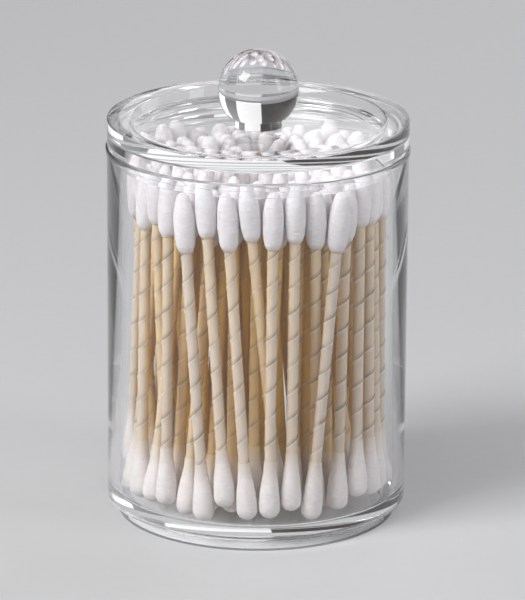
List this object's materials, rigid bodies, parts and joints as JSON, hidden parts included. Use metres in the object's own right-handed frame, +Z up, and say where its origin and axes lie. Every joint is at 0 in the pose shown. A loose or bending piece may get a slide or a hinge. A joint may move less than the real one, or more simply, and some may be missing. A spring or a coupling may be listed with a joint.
{
  "type": "cotton swab jar",
  "caption": "Clear round jar with a plug lid and a ball knob, filled with upright paper-stick cotton swabs.",
  "frame": {"origin": "middle of the foot ring's resting face, on the jar's axis", "axes": "+Z up along the jar's axis, +Y away from the picture's camera, +X to its right"},
  "size_m": [0.0666, 0.0666, 0.1043],
  "materials": {
    "jar_acrylic": "clear polished acrylic",
    "lid_acrylic": "clear polished acrylic",
    "knob_acrylic": "clear polished acrylic",
    "stick_paper": "rolled uncoated paper",
    "bud_cotton": "wound soft cotton"
  },
  "bodies": {
    "jar": {"jar_body": "jar_acrylic", "swab_row_1_bottom_buds": "bud_cotton", "swab_row_1_sticks": "stick_paper", "swab_row_1_top_buds": "bud_cotton", "swab_row_2_bottom_buds": "bud_cotton", "swab_row_2_sticks": "stick_paper", "swab_row_2_top_buds": "bud_cotton", "swab_row_3_bottom_buds": "bud_cotton", "swab_row_3_sticks": "stick_paper", "swab_row_3_top_buds": "bud_cotton", "swab_row_4_bottom_buds": "bud_cotton", "swab_row_4_sticks": "stick_paper", "swab_row_4_top_buds": "bud_cotton", "swab_row_5_bottom_buds": "bud_cotton", "swab_row_5_sticks": "stick_paper", "swab_row_5_top_buds": "bud_cotton", "swab_row_6_bottom_buds": "bud_cotton", "swab_row_6_sticks": "stick_paper", "swab_row_6_top_buds": "bud_cotton"},
    "lid": {"lid": "lid_acrylic", "ball_knob": "knob_acrylic"}
  },
  "joints": [
    {"name": "lid_lift", "type": "slide", "parent": "jar", "child": "lid", "axis": [0, 0, 1], "range_m": [0, 0.06]}
  ]
}
